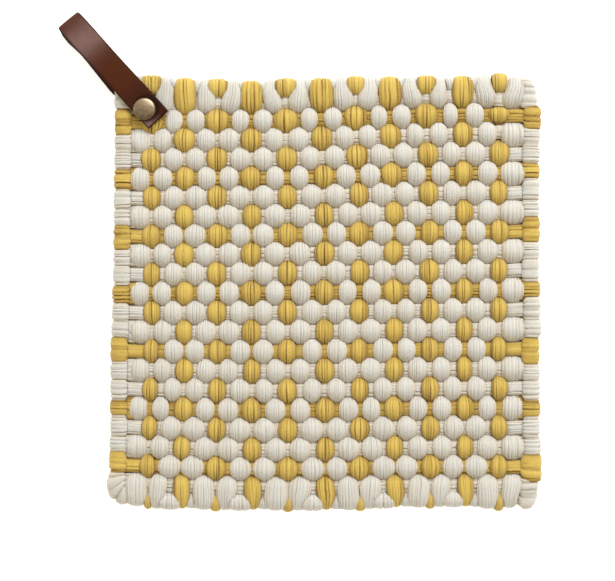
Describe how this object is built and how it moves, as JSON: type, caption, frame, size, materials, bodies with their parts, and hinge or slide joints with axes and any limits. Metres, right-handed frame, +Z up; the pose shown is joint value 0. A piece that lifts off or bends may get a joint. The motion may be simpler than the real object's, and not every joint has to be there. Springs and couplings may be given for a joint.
{
  "type": "pot holder",
  "caption": "Square pot holder of thick, chunky woven cotton with rounded edges and a riveted leather hanging loop at one corner.",
  "frame": {"origin": "middle of the pad's underside, on the flat of the back bead there", "axes": "+Z up out of the pad's face, +X to the right and +Y towards the edge with the leather loop, seen from above; the pad lies on z = 0"},
  "size_m": [0.2288, 0.2351, 0.0143],
  "materials": {
    "cotton_natural": "matte, thick soft cotton strands in off-white",
    "cotton_mustard": "matte, thick soft cotton strands in mustard yellow",
    "leather_brown": "smooth, waxed, satin",
    "brass_aged": "aged, satin, darker in the recesses"
  },
  "bodies": {
    "root": {"woven_pad": "cotton_natural", "leather_loop": "leather_brown", "rivet_cap": "brass_aged", "rivet_post": "brass_aged"}
  },
  "joints": []
}
